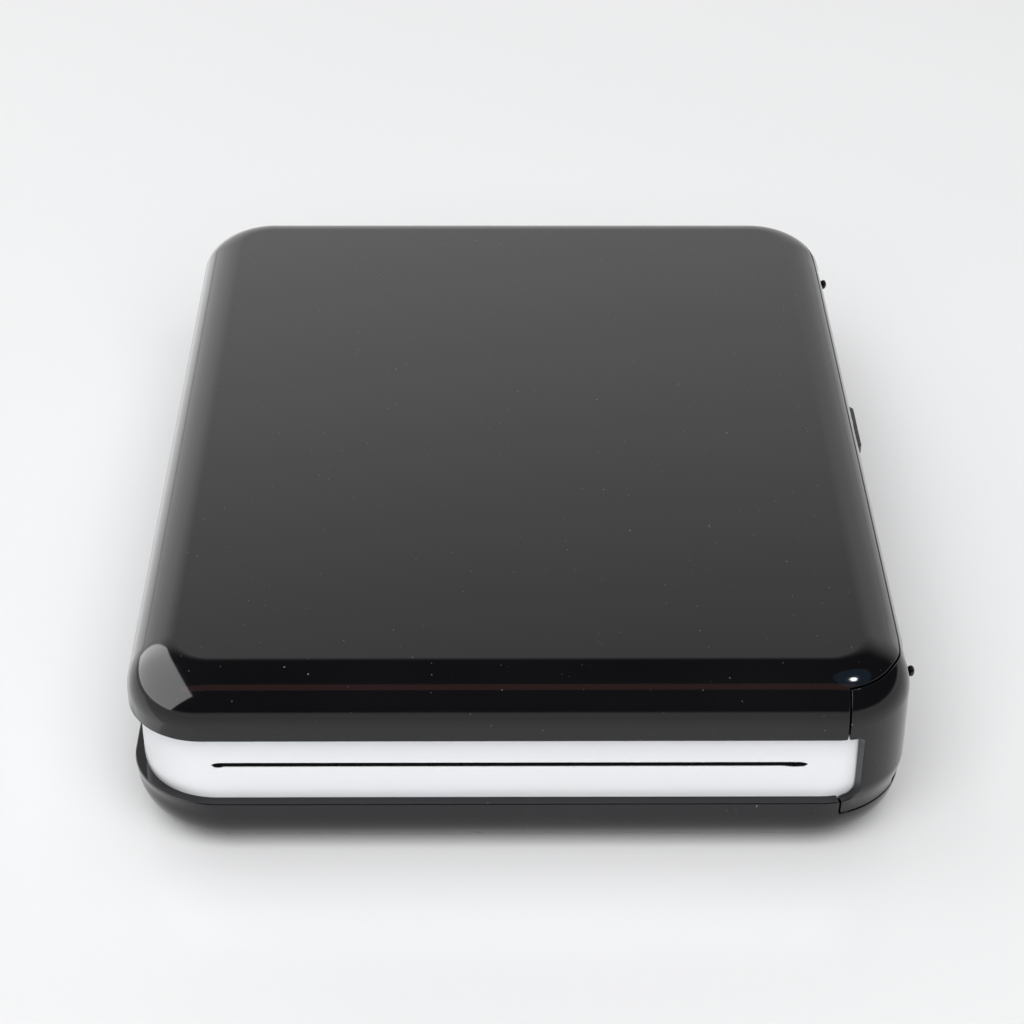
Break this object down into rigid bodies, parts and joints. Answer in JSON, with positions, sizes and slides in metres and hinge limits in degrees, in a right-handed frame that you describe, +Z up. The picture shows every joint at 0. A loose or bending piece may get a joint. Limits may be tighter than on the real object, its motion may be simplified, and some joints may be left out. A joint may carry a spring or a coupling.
{
  "type": "compact photo printer",
  "caption": "Flat box-shaped photo printer with rounded edges, a set-back white band with a print exit slot, and a side door that swings down over a cassette bay.",
  "frame": {"origin": "middle of the whole part's footprint on the table, at the underside of the feet", "axes": "+X towards the side with the door, +Y from the print exit towards the back, +Z up"},
  "size_m": [0.1028, 0.132, 0.0275],
  "materials": {
    "gloss_black": "gloss",
    "base_black": "gloss",
    "band_white": "gloss",
    "door_black": "gloss",
    "trim_black": "satin",
    "foot_rubber": "matt",
    "roller_rubber": "matt",
    "grey_rubber": "matt",
    "screw_steel": "black zinc",
    "bright_steel": "ground",
    "plate_steel": "zinc plated",
    "magnet": "nickel plated",
    "button_grey": "satin",
    "clear_pipe": "clear",
    "bay_plastic": "satin",
    "alu": "milled",
    "ceramic": "glazed",
    "connector": "satin",
    "gear_white": "satin",
    "bush_brown": "oiled",
    "motor_steel": "rolled",
    "pinion_brass": "machined",
    "board_green": "solder mask",
    "chip_black": "moulded",
    "battery_wrap": "wrapped",
    "foam": "foam",
    "wire_red": "satin",
    "lamp": "satin",
    "switch_black": "satin"
  },
  "bodies": {
    "housing": {"top_cover": "gloss_black", "bottom_cover": "base_black", "middle_band": "band_white", "case_pips": "trim_black", "hinge_pins": "bright_steel", "band_magnets": "magnet", "bar_keeper": "plate_steel", "feet": "foot_rubber", "case_screws": "screw_steel", "light_pipe": "clear_pipe", "left_plate": "plate_steel", "right_plate": "plate_steel", "base_tray": "plate_steel", "bay_floor": "bay_plastic", "frame_screws": "bright_steel", "head_pivot": "bright_steel", "head_springs": "bright_steel", "platen_bushes": "bush_brown", "drive_bushes": "bush_brown", "pinch_bushes": "bush_brown", "exit_guide": "bay_plastic", "middle_guide": "bay_plastic", "feed_guide": "bay_plastic", "paper_sensor": "switch_black", "feed_motor": "motor_steel", "idler_posts": "bright_steel", "hub_bushes": "bush_brown", "main_board": "board_green", "board_parts": "chip_black", "radio_module": "plate_steel", "charging_socket": "bright_steel", "power_switch": "switch_black", "status_lamp": "lamp", "battery_pack": "battery_wrap", "battery_pad": "foam", "battery_leads": "wire_red"},
    "door": {"side_door": "door_black", "door_pips": "trim_black", "door_keepers": "plate_steel"},
    "finger_bar": {"door_bar": "trim_black"},
    "power_button": {"power_button": "button_grey"},
    "print_head": {"head_arm": "plate_steel", "heat_sink": "alu", "print_head": "ceramic", "head_connector": "connector"},
    "platen": {"platen_shaft": "bright_steel", "platen_sleeve": "roller_rubber", "platen_gear": "gear_white"},
    "drive_roller": {"drive_roller": "bright_steel", "drive_gear": "gear_white"},
    "pinch_roller": {"pinch_shaft": "bright_steel", "pinch_sleeve": "grey_rubber"},
    "motor_rotor": {"motor_shaft": "bright_steel", "motor_pinion": "pinion_brass"},
    "front_idler": {"front_idler": "gear_white"},
    "rear_idler": {"rear_idler": "gear_white"},
    "small_idler": {"small_idler": "gear_white"},
    "takeup": {"takeup_hub": "gear_white", "takeup_gear": "gear_white"},
    "supply": {"supply_hub": "gear_white"}
  },
  "joints": [
    {"name": "door_hinge", "type": "hinge", "parent": "housing", "child": "door", "pos_m": [0.04955, 0, 0.0079], "axis": [0, 1, 0], "range_deg": [0, 95]},
    {"name": "bar_slide", "type": "slide", "parent": "door", "child": "finger_bar", "axis": [0, -1, 0], "range_m": [0, 0.005]},
    {"name": "button_press", "type": "slide", "parent": "housing", "child": "power_button", "axis": [0, -1, 0], "range_m": [0, 0.0005], "stiffness_N_per_m": 800, "springref_m": -0.0005},
    {"name": "head_swing", "type": "hinge", "parent": "housing", "child": "print_head", "pos_m": [-0.00045, -0.028, 0.0185], "axis": [1, 0, 0], "range_deg": [0, 2.8], "stiffness_Nm_per_rad": 0.6, "springref_deg": -2.86, "deforming": ["head_springs"]},
    {"name": "drive_spin", "type": "hinge", "parent": "housing", "child": "drive_roller", "pos_m": [-0.00045, -0.056, 0.012], "axis": [1, 0, 0], "continuous": true},
    {"name": "platen_spin", "type": "hinge", "parent": "housing", "child": "platen", "pos_m": [-0.00045, -0.044, 0.0104], "axis": [1, 0, 0], "continuous": true},
    {"name": "pinch_spin", "type": "hinge", "parent": "housing", "child": "pinch_roller", "pos_m": [-0.00045, -0.056, 0.0162], "axis": [1, 0, 0], "continuous": true},
    {"name": "motor_spin", "type": "hinge", "parent": "housing", "child": "motor_rotor", "pos_m": [-0.00045, -0.031, 0.0078], "axis": [1, 0, 0], "continuous": true},
    {"name": "front_idler_spin", "type": "hinge", "parent": "housing", "child": "front_idler", "pos_m": [-0.00045, -0.03503, 0.01585], "axis": [1, 0, 0], "continuous": true},
    {"name": "rear_idler_spin", "type": "hinge", "parent": "housing", "child": "rear_idler", "pos_m": [-0.00045, -0.02258, 0.00895], "axis": [1, 0, 0], "continuous": true},
    {"name": "small_idler_spin", "type": "hinge", "parent": "housing", "child": "small_idler", "pos_m": [-0.00045, -0.05067, 0.00828], "axis": [1, 0, 0], "continuous": true},
    {"name": "takeup_spin", "type": "hinge", "parent": "housing", "child": "takeup", "pos_m": [-0.00045, -0.012, 0.0165], "axis": [1, 0, 0], "continuous": true},
    {"name": "supply_spin", "type": "hinge", "parent": "housing", "child": "supply", "pos_m": [-0.00045, 0.032, 0.0165], "axis": [1, 0, 0], "continuous": true}
  ],
  "couplings": [
    {"joint": "small_idler_spin", "follows": "drive_spin", "ratio": -1.1667},
    {"joint": "platen_spin", "follows": "drive_spin", "ratio": 0.875},
    {"joint": "front_idler_spin", "follows": "drive_spin", "ratio": -0.53846},
    {"joint": "motor_spin", "follows": "drive_spin", "ratio": 1.4},
    {"joint": "rear_idler_spin", "follows": "drive_spin", "ratio": -0.58333},
    {"joint": "takeup_spin", "follows": "drive_spin", "ratio": 0.5},
    {"joint": "pinch_spin", "follows": "drive_spin", "ratio": -1}
  ]
}
